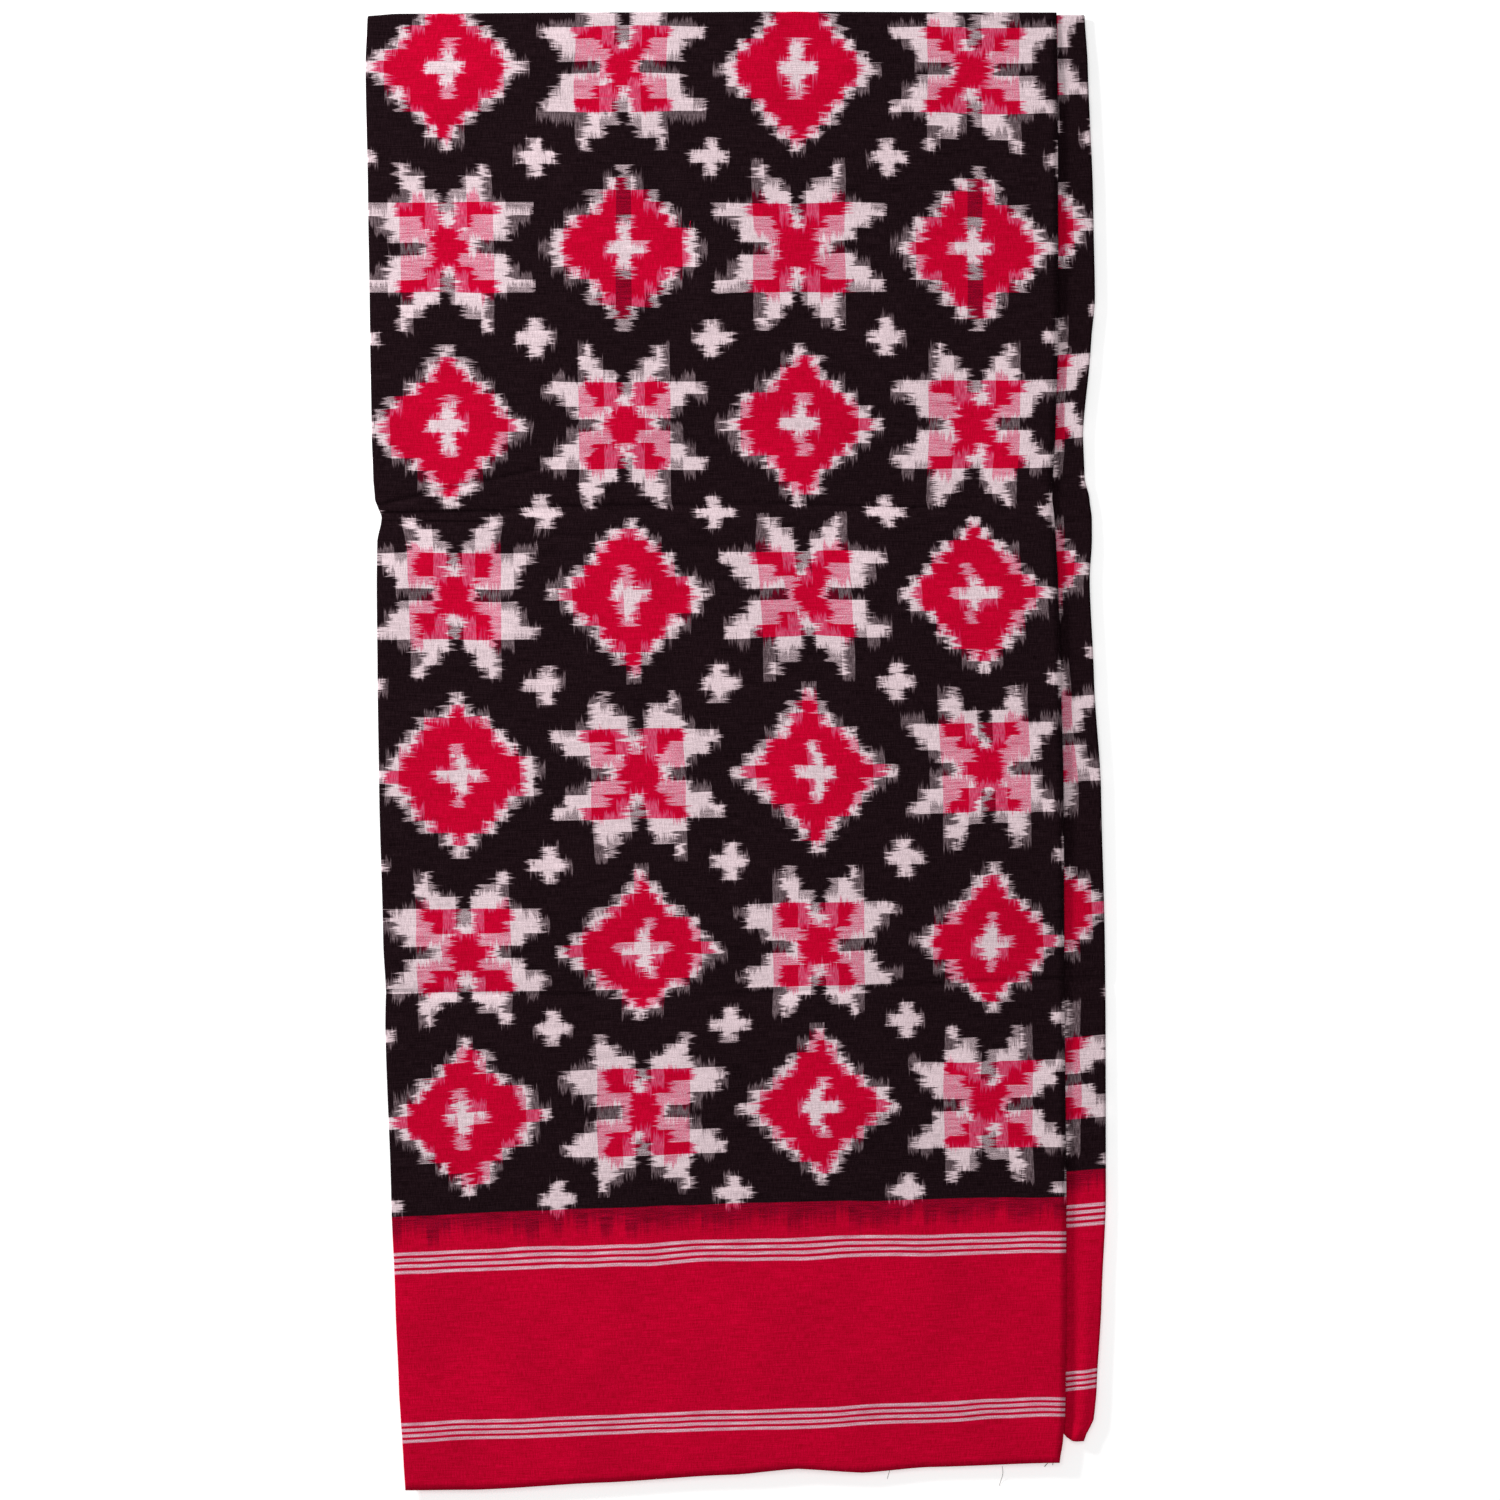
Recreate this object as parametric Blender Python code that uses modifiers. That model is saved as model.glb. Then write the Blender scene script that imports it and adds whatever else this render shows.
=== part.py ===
# Folded length of handwoven ikat cotton, lying flat on a surface.
#
# The web is folded in half along its length (the fold is at the left), then doubled over at the top, so four
# layers lie on each other: front panel, inner front panel, inner back panel and back panel. The inner panels
# reach past the outer ones at the right, where they show as a narrow strip.
#
# Metres, +Z up. The cloth lies in the XY plane with the top fold at +Y. The origin is under the middle of its
# outline, on the surface that it lies on.

import math

import bmesh
import bpy

MM = 0.001

# The cloth and how closely its layers are folded
CLOTH_THICKNESS = 1.0 * MM
LAYER_SPACING = 2.0 * MM
FOLDED_LENGTH = 1109.5 * MM
TOP_EDGE = FOLDED_LENGTH / 2

# Distances of the outer and inner panels' middle surfaces from the plane midway between front and back
INNER_REACH = LAYER_SPACING / 2
OUTER_REACH = INNER_REACH + LAYER_SPACING
SIDE_FOLD_RADIUS = LAYER_SPACING / 2
MIDDLE_HEIGHT = OUTER_REACH + CLOTH_THICKNESS / 2

# How many faces the grid has across each panel, across the strip and round each fold
PANEL_COLUMNS = 11
STRIP_COLUMNS = 4
SIDE_FOLD_STEPS = 4
TOP_FOLD_STEPS = 6

# Rows of faces down the front, closer together at the two storage creases and at the cut end.
# A row for each stretch: where it starts and ends down from the top fold, in mm, and its count of faces.
FRONT_STRETCHES = (
    # start, end, faces
    (0, 345, 12),
    (345, 405, 8),
    (405, 715, 10),
    (715, 760, 5),
    (760, 1020, 8),
    (1020, 1109.5, 5),
)
BACK_ROWS = 8

# Edges of the folded cloth. A row for each place down the length where an outline changes, in mm:
# down from the top fold, then the x of the left fold, of the front panel's selvedge and of the strip's selvedge.
EDGES = (
    # down, fold, selvedge, strip
    (0, -276.3, 240.7, 261.7),
    (40, -277.8, 241.2, 264.2),
    (142, -275.8, 241.5, 268.2),
    (217, -274.6, 241.8, 269.6),
    (250, -274.2, 241.5, 266.6),
    (317, -273.1, 239.6, 260.6),
    (350, -272.0, 237.8, 261.8),
    (366, -270.8, 237.2, 265.5),
    (381, -265.6, 238.8, 267.3),
    (398, -269.0, 240.0, 267.3),
    (427, -269.3, 241.5, 265.5),
    (502, -268.6, 243.7, 268.8),
    (584, -267.4, 245.6, 274.1),
    (700, -264.4, 246.2, 277.0),
    (734, -262.6, 246.3, 277.5),
    (760, -263.0, 246.7, 277.6),
    (892, -258.4, 247.8, 277.8),
    (967, -255.4, 247.4, 274.5),
    (1045, -252.2, 247.1, 270.8),
    (1075, -250.0, 244.7, 263.2),
    (1109, -248.0, 242.8, 261.2),
)
FOLD, SELVEDGE, STRIP = 1, 2, 3

# Top fold and the cut end of each panel. A row for each place across, as a share of the panel's width from the
# side fold: the share, then how far the edge stops short of the highest or the lowest point of the cloth, in mm.
TOP_DIP = ((0.0, 3.2), (0.04, 1.6), (0.3, 0.7), (0.6, 0.0), (1.0, 0.7))
FRONT_END = ((0.0, 0.0), (0.1, 0.6), (0.3, 6.0), (0.5, 12.0), (0.6, 16.5), (0.7, 13.5), (0.8, 17.5), (1.0, 21.0))
INNER_END = ((0.0, 0.0), (0.5, 22.0), (0.945, 46.5), (0.965, 40.5), (1.0, 36.5))
INNER_COVERED = 0.945  # share of an inner panel that the outer one covers
BACK_END_SETBACK = 7.0 * MM
BACK_STRIP_SETBACK = 3.0 * MM

# Storage creases split the front into sections that stand up softly between them.
# A row for each section: where it starts down the left side and down the right side, and its height, all in mm.
SECTIONS = (
    # left start, right start, height
    (0, 0, 2.4),
    (380, 364, 2.8),
    (736, 726, 2.2),
    (1150, 1140, 0.0),
)
CREASE_SHARPNESS = 0.45
CREASE_HEIGHT = 0.3 * MM
SECTION_SWAY = 0.3
INNER_LIFT_SHARE = 0.6  # how much of the front panel's height the panel under it takes
LIFT_START = 60 * MM  # distance below the top fold in which the layers reach their full height

# Front panel's loose right edge, and the strip's valley beside it
SELVEDGE_CURL = 0.8 * MM
SELVEDGE_CURL_WIDTH = 0.05
VALLEY_START = 880 * MM
VALLEY_FULL = 1060 * MM
VALLEY_SHARE = 0.3
RIDGE_SHARE = 0.62
RIDGE_HEIGHT = 2.6 * MM

# Ripple of the front panel's cut end
END_RIPPLE = 1.3 * MM
END_RIPPLE_WAVES = 2.5
END_RIPPLE_REACH = 150 * MM


def clear_scene():
    for leftover in list(bpy.data.objects):
        bpy.data.objects.remove(leftover)


def smooth_step(value):
    value = min(1.0, max(0.0, value))
    return value * value * (3.0 - 2.0 * value)


def along_table(rows, column, place):
    """Reads a column of a table at a place between its rows, on a curve that doesn't overshoot."""
    if place <= rows[0][0]:
        return rows[0][column]
    for above, below in zip(rows, rows[1:]):
        if place <= below[0]:
            share = (place - above[0]) / (below[0] - above[0])
            eased = 0.5 * share + 0.5 * smooth_step(share)
            return above[column] + eased * (below[column] - above[column])
    return rows[-1][column]


def edge_at(column, down):
    return along_table(EDGES, column, down / MM) * MM


def panel_end(column):
    """How far down the cut end of a front panel is."""
    table = INNER_END if column.is_inner else FRONT_END
    return FOLDED_LENGTH - along_table(table, 1, column.panel_share()) * MM


def section_lift(share, down):
    """Height that the front layers gain between two storage creases."""
    for above, below in zip(SECTIONS, SECTIONS[1:]):
        start = (above[0] + share * (above[1] - above[0])) * MM
        finish = (below[0] + share * (below[1] - below[0])) * MM
        if down <= finish:
            within = (down - start) / (finish - start)
            rise = max(0.0, math.sin(math.pi * within)) ** CREASE_SHARPNESS
            sway = 1.0 + SECTION_SWAY * math.sin(math.pi * (2.0 * share + above[0] / 500))
            return CREASE_HEIGHT + above[2] * MM * rise * sway
    return CREASE_HEIGHT


def end_ripple(share, down):
    near_end = smooth_step((down - FOLDED_LENGTH + END_RIPPLE_REACH) / END_RIPPLE_REACH)
    return END_RIPPLE * near_end * (0.5 - 0.5 * math.cos(2.0 * math.pi * END_RIPPLE_WAVES * share))


def selvedge_curl(share):
    return SELVEDGE_CURL * smooth_step((share - 1.0 + SELVEDGE_CURL_WIDTH) / SELVEDGE_CURL_WIDTH)


def strip_ridge(beyond, down):
    """Ridge of the strip's free edge, past the valley that runs beside the front panel's selvedge."""
    depth = smooth_step((down - VALLEY_START) / (VALLEY_FULL - VALLEY_START))
    rise = smooth_step((beyond - VALLEY_SHARE) / (RIDGE_SHARE - VALLEY_SHARE))
    fall = 1.0 - 0.5 * smooth_step((beyond - RIDGE_SHARE) / (1.0 - RIDGE_SHARE))
    return RIDGE_HEIGHT * depth * rise * fall


class Column:
    """A line of the grid that runs the length of the cloth."""

    def __init__(self, share, turn, beyond=0.0):
        self.share = share  # across its panel from the fold, 0 to 1, and short of the strip on an inner panel
        self.turn = turn  # round the side fold: 0 on an outer panel, pi on an inner one
        self.beyond = beyond  # across the strip, 0 to 1
        self.is_inner = turn == math.pi
        self.reach = INNER_REACH + SIDE_FOLD_RADIUS * (1.0 + math.cos(turn))

    def panel_share(self):
        """Share of its own panel's width, strip and all."""
        if not self.is_inner:
            return self.share
        return self.share * INNER_COVERED + self.beyond * (1.0 - INNER_COVERED)


class Row:
    """A line of the grid that runs across the cloth."""

    def __init__(self, share, turn):
        self.share = share  # down its layer from the top fold, 0 to 1
        self.turn = turn  # round the top fold: 0 on the front, pi on the back
        self.back_share = 0.5 - 0.5 * math.cos(turn)


def grid_columns():
    outer = [Column(1.0 - i / PANEL_COLUMNS, 0.0) for i in range(PANEL_COLUMNS)]
    fold = [Column(0.0, math.pi * i / SIDE_FOLD_STEPS) for i in range(SIDE_FOLD_STEPS)]
    inner = [Column(i / PANEL_COLUMNS, math.pi) for i in range(PANEL_COLUMNS + 1)]
    strip = [Column(1.0, math.pi, (i + 1) / STRIP_COLUMNS) for i in range(STRIP_COLUMNS)]
    return outer + fold + inner + strip


def grid_rows():
    front = []
    for start, end, faces in FRONT_STRETCHES:
        front += [Row((start + (end - start) * (i + 1) / faces) * MM / FOLDED_LENGTH, 0.0) for i in range(faces)]
    fold = [Row(0.0, math.pi * i / TOP_FOLD_STEPS) for i in range(TOP_FOLD_STEPS)]
    back = [Row(i / BACK_ROWS, math.pi) for i in range(BACK_ROWS + 1)]
    return front[::-1] + fold + back


def across_place(column, row, down):
    """The x of a crossing of the grid at a distance down from the top fold."""
    fold_centre = edge_at(FOLD, down) + SIDE_FOLD_RADIUS + CLOTH_THICKNESS / 2
    bend = SIDE_FOLD_RADIUS * math.sin(column.turn)
    selvedge = edge_at(SELVEDGE, down)
    x = fold_centre - bend + column.share * (selvedge - fold_centre)
    strip_width = edge_at(STRIP, down) - selvedge - row.back_share * BACK_STRIP_SETBACK
    return x + column.beyond * strip_width


def front_lift(column, down):
    """Height that a point of the front layers gains over lying flat."""
    lift = section_lift(column.share, down) + end_ripple(column.share, down)
    if column.is_inner:
        return INNER_LIFT_SHARE * lift + strip_ridge(column.beyond, down)
    fold_share = 0.5 - 0.5 * math.cos(column.turn)
    lift *= 1.0 - fold_share * (1.0 - INNER_LIFT_SHARE)
    return lift + selvedge_curl(column.share)


def folded_point(column, row):
    """Where a crossing of the grid lies once the cloth is folded."""
    axis_down = OUTER_REACH + CLOTH_THICKNESS / 2 + along_table(TOP_DIP, 1, column.panel_share()) * MM
    end_down = panel_end(column) - row.back_share * BACK_END_SETBACK
    down = axis_down + row.share * (end_down - axis_down) - column.reach * math.sin(row.turn)
    z = MIDDLE_HEIGHT + column.reach * math.cos(row.turn)
    if row.turn == 0.0:
        z += front_lift(column, down) * smooth_step((down - axis_down) / LIFT_START)
    return across_place(column, row, down), TOP_EDGE - down, z


def make_cloth_material():
    material = bpy.data.materials.new("dyed_cotton")
    material.use_nodes = True
    finish = material.node_tree.nodes["Principled BSDF"]
    finish.inputs["Base Color"].default_value = (0.20, 0.03, 0.04, 1.0)
    finish.inputs["Roughness"].default_value = 0.9
    finish.inputs["Metallic"].default_value = 0.0
    return material


def make_cloth(collection):
    """Lays a flat grid into the folded shape and gives it the cloth's thickness."""
    columns = grid_columns()
    rows = grid_rows()
    mesh = bpy.data.meshes.new("ikat_cloth")
    grid = bmesh.new()
    bmesh.ops.create_grid(grid, x_segments=len(columns) - 1, y_segments=len(rows) - 1, size=1.0)
    for vertex in grid.verts:
        column = columns[round((vertex.co.x + 1.0) / 2.0 * (len(columns) - 1))]
        row = rows[round((vertex.co.y + 1.0) / 2.0 * (len(rows) - 1))]
        vertex.co = folded_point(column, row)
    bmesh.ops.recalc_face_normals(grid, faces=grid.faces)
    grid.to_mesh(mesh)
    grid.free()

    cloth = bpy.data.objects.new("ikat_cloth", mesh)
    collection.objects.link(cloth)
    mesh.materials.append(make_cloth_material())
    mesh.shade_smooth()
    thickness = cloth.modifiers.new("Thickness", "SOLIDIFY")
    thickness.thickness = CLOTH_THICKNESS
    thickness.offset = 0.0
    thickness.use_even_offset = True
    return cloth


def main():
    clear_scene()
    collection = bpy.data.collections.new("folded_ikat_cloth")
    bpy.context.scene.collection.children.link(collection)
    make_cloth(collection)


main()
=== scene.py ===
import math

import bpy
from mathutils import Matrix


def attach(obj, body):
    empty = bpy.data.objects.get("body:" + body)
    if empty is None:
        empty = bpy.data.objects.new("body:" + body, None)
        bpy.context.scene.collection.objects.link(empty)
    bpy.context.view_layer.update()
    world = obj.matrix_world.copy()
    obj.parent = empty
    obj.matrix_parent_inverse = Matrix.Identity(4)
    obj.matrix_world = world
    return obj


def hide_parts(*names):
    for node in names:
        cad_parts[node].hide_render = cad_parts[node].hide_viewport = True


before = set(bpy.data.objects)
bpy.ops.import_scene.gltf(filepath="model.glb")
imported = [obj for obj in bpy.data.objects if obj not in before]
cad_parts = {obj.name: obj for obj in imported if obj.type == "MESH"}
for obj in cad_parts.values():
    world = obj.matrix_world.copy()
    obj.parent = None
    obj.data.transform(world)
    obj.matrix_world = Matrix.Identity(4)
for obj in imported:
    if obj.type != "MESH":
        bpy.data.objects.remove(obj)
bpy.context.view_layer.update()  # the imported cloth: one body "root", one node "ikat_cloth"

bpy.ops.object.select_all(action="DESELECT")
mm = 0.001

# A length of handwoven cotton in double ikat: warp and weft are both tied and dyed before weaving, so the
# edges of each figure are feathered along both. It is folded along its length (fold at the left), doubled
# over at the top, and lies flat. The web has four layers there: front, inner front, inner back and back.


def smoothStep(value):
    value = min(1.0, max(0.0, value))
    return value * value * (3.0 - 2.0 * value)


def readTable(rows, column, place, softness=0.5):
    # one column of a table at a place between its rows, eased so that no row shows as a corner
    if place <= rows[0][0]:
        return rows[0][column]
    for above, below in zip(rows, rows[1:]):
        if place <= below[0]:
            share = (place - above[0]) / (below[0] - above[0])
            eased = (1.0 - softness) * share + softness * smoothStep(share)
            return above[column] + eased * (below[column] - above[column])
    return rows[-1][column]


# the folded web

clothSettings = {
    "webThickness": 0.5 * mm,
    "solidThickness": 1.0 * mm,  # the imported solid's, which sets where the layers' middles lie
    "layerSpacing": 2.0 * mm,
    "foldedLength": 1109.5 * mm,
    "faces": {"panel": 90, "inner": 26, "strip": 12, "sideFold": 8, "topFold": 10, "back": 50},
    # down the front, in mm from the top fold and closer at the creases: start, end, count of faces
    "frontStretches": (
        (0, 340, 44),
        (340, 370, 38),
        (370, 386, 24),
        (386, 420, 18),
        (420, 715, 36),
        (715, 752, 26),
        (752, 1020, 34),
        (1020, 1109.5, 16),
    ),
    # mm down from the top fold, then x of the side fold, the front panel's selvedge and the strip's selvedge
    "edges": (
        (0, -276.3, 240.7, 261.7),
        (40, -277.8, 241.2, 264.2),
        (142, -275.8, 241.5, 268.2),
        (217, -274.6, 241.8, 269.6),
        (250, -274.2, 241.5, 266.6),
        (317, -273.1, 239.6, 260.6),
        (350, -272.0, 237.8, 261.8),
        (366, -270.8, 237.2, 265.5),
        (381, -265.6, 238.8, 267.3),
        (398, -269.0, 240.0, 267.3),
        (427, -269.3, 241.5, 265.5),
        (502, -268.6, 243.7, 268.8),
        (584, -267.4, 245.6, 274.1),
        (700, -264.4, 246.2, 277.0),
        (734, -262.6, 246.3, 277.5),
        (760, -263.0, 246.7, 277.6),
        (892, -258.4, 247.8, 277.8),
        (967, -255.4, 247.4, 274.5),
        (1035, -252.7, 247.2, 270.6),
        (1055, -251.5, 246.7, 268.8),
        (1072, -250.2, 245.3, 261.2),
        (1088, -249.3, 242.8, 257.0),
        (1109, -248.0, 240.6, 255.0),
    ),
    # share across from the side fold, then how far the edge stops short, in mm
    "topDip": ((0.0, 3.2), (0.04, 1.6), (0.3, 0.7), (0.6, 0.0), (1.0, 0.7)),
    "frontEnd": (
        (0.0, 0.0),
        (0.1, 0.6),
        (0.3, 6.0),
        (0.5, 12.0),
        (0.6, 16.5),
        (0.7, 13.5),
        (0.8, 17.5),
        (1.0, 21.0),
    ),
    "innerEnd": ((0.0, 0.0), (0.5, 22.0), (0.945, 42.5), (0.957, 39.0), (0.971, 36.8), (1.0, 36.8)),
    "innerCovered": 0.945,
    "backEndSetback": 7.0 * mm,
    "backStripSetback": 3.0 * mm,
    # soft sections between the storage creases: start at the left and at the right, height, in mm
    "sections": ((0, 0, 2.4), (380, 364, 2.8), (736, 726, 2.5), (1135, 1122, 0.0)),
    "creaseSharpness": 0.45,
    "creaseHeight": 0.3 * mm,
    # a section's height differs by this share along a wave across it, which starts elsewhere in each section
    "sectionSway": {"share": 0.3, "halfWaves": 2.0, "startOver": 500},
    "innerLiftShare": 0.6,
    "liftStart": 60 * mm,
    "selvedgeCurl": 0.8 * mm,
    "selvedgeCurlWidth": 0.05,
    # the hollow between the front panel and the strip's edge, then the strip's ridge and its fall to the edge
    "valley": {
        "start": 880 * mm,
        "full": 1060 * mm,
        "share": 0.3,
        "ridgeShare": 0.62,
        "height": 2.6 * mm,
        "fall": 0.5,
    },
    "endRipple": {"height": 1.3 * mm, "waves": 2.5, "reach": 150 * mm},
    # the slow, shallow swell of cloth that has been handled, a quarter of a millimetre over 60 to 160 mm: a
    # height in mm, then two waves by their radians for the width, radians for a metre down, and start
    "swells": (
        (0.22, (9.0, 17.0, 0.6), (-4.0, 31.0, 0.0)),
        (0.12, (23.0, -11.0, 0.0), (7.0, 58.0, 1.1)),
    ),
    "pressed": {
        "easyFlank": 2.2,  # how much wider a pressed line's lower flank is than its upper one
        "through": 0.5,  # share of its depth that shows in the layer below
        "fromFold": 0.05,  # a line that starts nearer to the side fold than this share is at full depth there
        "fadeIn": 0.2,  # share of its length over which another line fades in
        "fadeOut": 1 / 3,  # share over which a line fades out, short of the selvedge
        # lines pressed into the front, each a soft trough from one point to another: share across and mm down
        # of both, then depth and half width in mm
        "lines": (
            (0.000, 371, 0.330, 334, 1.70, 1.3),
            (0.000, 377, 0.240, 375, 1.60, 1.4),
            (0.010, 383, 0.200, 384, 1.40, 1.1),
            (0.140, 374, 0.560, 370, 1.50, 1.9),
            (0.520, 370, 0.960, 375, 1.60, 1.9),
            (0.935, 376, 0.962, 356, 1.30, 1.6),
            (0.960, 366, 1.000, 382, 1.40, 1.6),
            (0.220, 394, 0.340, 395, 1.20, 2.0),
            (0.430, 401, 0.560, 401, 1.20, 2.2),
            (0.220, 408, 0.300, 409, 1.10, 1.9),
            (0.000, 736, 0.450, 740, 1.50, 1.8),
            (0.420, 740, 1.000, 726, 1.40, 1.8),
        ),
    },
}

# The flat web, in the measure of its own threads, with the side fold and the top fold as its two zero lines,
# but for what the threads have been eased by
webSettings = {
    "outerWidth": 513.0 * mm,
    "innerWidth": 529.0 * mm,
    "backLength": 1156.0 * mm,
    # Handling has eased the threads out of square, and a crease swallows a little cloth. mm down, then how
    # far along the web is ahead of that at the side fold, at the front panel's selvedge and at the strip's,
    # how far figures have moved to the right on the front panel and on the strip, and how much further ahead
    # the web is halfway across the front panel
    "easedThreads": (
        (0, -3.4, -4.6, 9.4, 0.0, -1.5, 0.0),
        (14, -3.2, -4.6, 9.6, 0.0, -1.5, 0.0),
        (40, -1.7, -3.2, 10.2, 0.0, -1.3, 0.0),
        (68, -1.4, -3.0, 10.6, 0.0, -1.1, 0.0),
        (90, -2.5, -4.3, 11.0, 0.0, -1.0, 0.0),
        (177, -6.0, -6.6, 12.5, 0.5, 2.2, 0.0),
        (250, -9.0, -7.3, 14.0, 0.2, 6.5, 0.0),
        (320, -8.5, -6.2, 15.3, 1.4, 7.8, 0.0),
        (373, -9.1, -6.7, 16.0, 0.9, 5.5, 0.0),
        (384, -5.9, -4.1, 16.6, 0.8, 4.5, 0.0),
        (450, -3.8, -1.2, 17.8, 3.2, 2.4, 0.0),
        (518, -5.8, 0.1, 19.6, 4.0, 6.8, -1.4),
        (584, -9.2, -1.0, 21.6, 6.9, 8.8, -1.4),
        (650, -10.1, -0.6, 24.4, 7.8, 9.0, -0.8),
        (725, -10.0, 1.2, 26.0, 7.4, 9.0, 0.0),
        (745, -7.0, 7.4, 26.8, 6.8, 9.0, 2.0),
        (782, -5.7, 8.8, 27.4, 5.9, 9.0, 2.6),
        (848, -6.0, 9.7, 32.5, 4.7, 9.0, 3.2),
        (896, -2.3, 13.7, 35.4, 4.5, 9.0, 2.6),
        (933, -2.1, 14.7, 36.0, 4.2, 9.0, 2.0),
        (1057, -3.0, 16.4, 37.6, 3.0, 9.0, -0.4),
        (1110, -2.2, 18.0, 38.0, 2.0, 9.0, 0.0),
    ),
    # the front panel's figures move most in its middle: the power that flattens that wave, and its size at
    # the side fold and how much larger it is at the selvedge
    "moveShape": {"power": 0.6, "atFold": 0.4, "gain": 1.2},
    # the cloth that the side fold's tuck swallows, around a place in mm down and a share across
    "tuck": {"down": 380, "reach": 14, "share": 0.1, "swallows": 9.0 * mm},
    # where the web lies on the square map that its colours are baked through: the front has most of it,
    # because the covered layers need little. mm across from the side fold, then the place on the map
    "bakeFront": ((-515, 0.004), (0, 0.464), (490, 0.500), (530, 0.532)),
    "bakeBack": ((-515, 0.540), (0, 0.900), (490, 0.960), (530, 0.996)),
    "bakeAlong": ((-20, 0.002), (1160, 0.998)),
}


def gridColumns(faces):
    # (share of the panel's covered width, turn round the side fold, share across the strip)
    outer = [(1.0 - i / faces["panel"], 0.0, 0.0) for i in range(faces["panel"])]
    fold = [(0.0, math.pi * i / faces["sideFold"], 0.0) for i in range(faces["sideFold"])]
    inner = [(i / faces["inner"], math.pi, 0.0) for i in range(faces["inner"] + 1)]
    strip = [(1.0, math.pi, (i + 1) / faces["strip"]) for i in range(faces["strip"])]
    return outer + fold + inner + strip


def gridRows(faces, stretches, length):
    # (share down the layer from the top fold, turn round the top fold)
    front = []
    for start, end, count in stretches:
        front += [((start + (end - start) * (i + 1) / count) * mm / length, 0.0) for i in range(count)]
    fold = [(0.0, math.pi * i / faces["topFold"]) for i in range(faces["topFold"])]
    back = [(i / faces["back"], math.pi) for i in range(faces["back"] + 1)]
    return front[::-1] + fold + back


def sectionLift(share, down, c):
    for above, below in zip(c["sections"], c["sections"][1:]):
        start = (above[0] + share * (above[1] - above[0])) * mm
        finish = (below[0] + share * (below[1] - below[0])) * mm
        if down <= finish:
            rise = max(0.0, math.sin(math.pi * (down - start) / (finish - start))) ** c["creaseSharpness"]
            sway = c["sectionSway"]
            wave = math.sin(math.pi * (sway["halfWaves"] * share + above[0] / sway["startOver"]))
            return c["creaseHeight"] + above[2] * mm * rise * (1.0 + sway["share"] * wave)
    return c["creaseHeight"]


def endRipple(share, down, c):
    ripple = c["endRipple"]
    nearEnd = smoothStep((down - c["foldedLength"] + ripple["reach"]) / ripple["reach"])
    return ripple["height"] * nearEnd * (0.5 - 0.5 * math.cos(2.0 * math.pi * ripple["waves"] * share))


def stripRidge(beyond, down, valley):
    depth = smoothStep((down - valley["start"]) / (valley["full"] - valley["start"]))
    rise = smoothStep((beyond - valley["share"]) / (valley["ridgeShare"] - valley["share"]))
    fall = valley["fall"] * smoothStep((beyond - valley["ridgeShare"]) / (1.0 - valley["ridgeShare"]))
    return valley["height"] * depth * rise * (1.0 - fall)


def pressedDepth(share, down, pressed):
    depth = 0.0
    for fromShare, fromDown, toShare, toDown, lineDepth, halfWidth in pressed["lines"]:
        along = (share - fromShare) / (toShare - fromShare)
        if 0.0 <= along <= 1.0:
            middle = (fromDown + along * (toDown - fromDown)) * mm
            off = (down - middle) / (halfWidth * mm)
            if off > 0.0:
                off /= pressed["easyFlank"]
            fadeIn = 1.0 if fromShare < pressed["fromFold"] else smoothStep(along / pressed["fadeIn"])
            fadeOut = 1.0 if toShare == 1.0 else smoothStep((1.0 - along) / pressed["fadeOut"])
            depth = max(depth, lineDepth * mm * math.exp(-off * off) * fadeIn * fadeOut)
    return depth


def softSwell(share, down, swells):
    lift = 0.0
    for height, *waves in swells:
        for across, along, start in waves:
            height *= math.sin(across * share + along * down + start)
        lift += height * mm
    return lift


def frontLift(column, down, c):
    share, turn, beyond = column
    lift = sectionLift(share, down, c) + endRipple(share, down, c)
    pressed = pressedDepth(share, down, c["pressed"])
    if turn == math.pi:
        innerLift = c["innerLiftShare"] * lift - c["pressed"]["through"] * pressed
        return innerLift + stripRidge(beyond, down, c["valley"])
    foldShare = 0.5 - 0.5 * math.cos(turn)
    lift *= 1.0 - foldShare * (1.0 - c["innerLiftShare"])
    curl = c["selvedgeCurl"] * smoothStep((share - 1.0 + c["selvedgeCurlWidth"]) / c["selvedgeCurlWidth"])
    return lift + curl + softSwell(share, down, c["swells"]) - pressed


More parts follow.
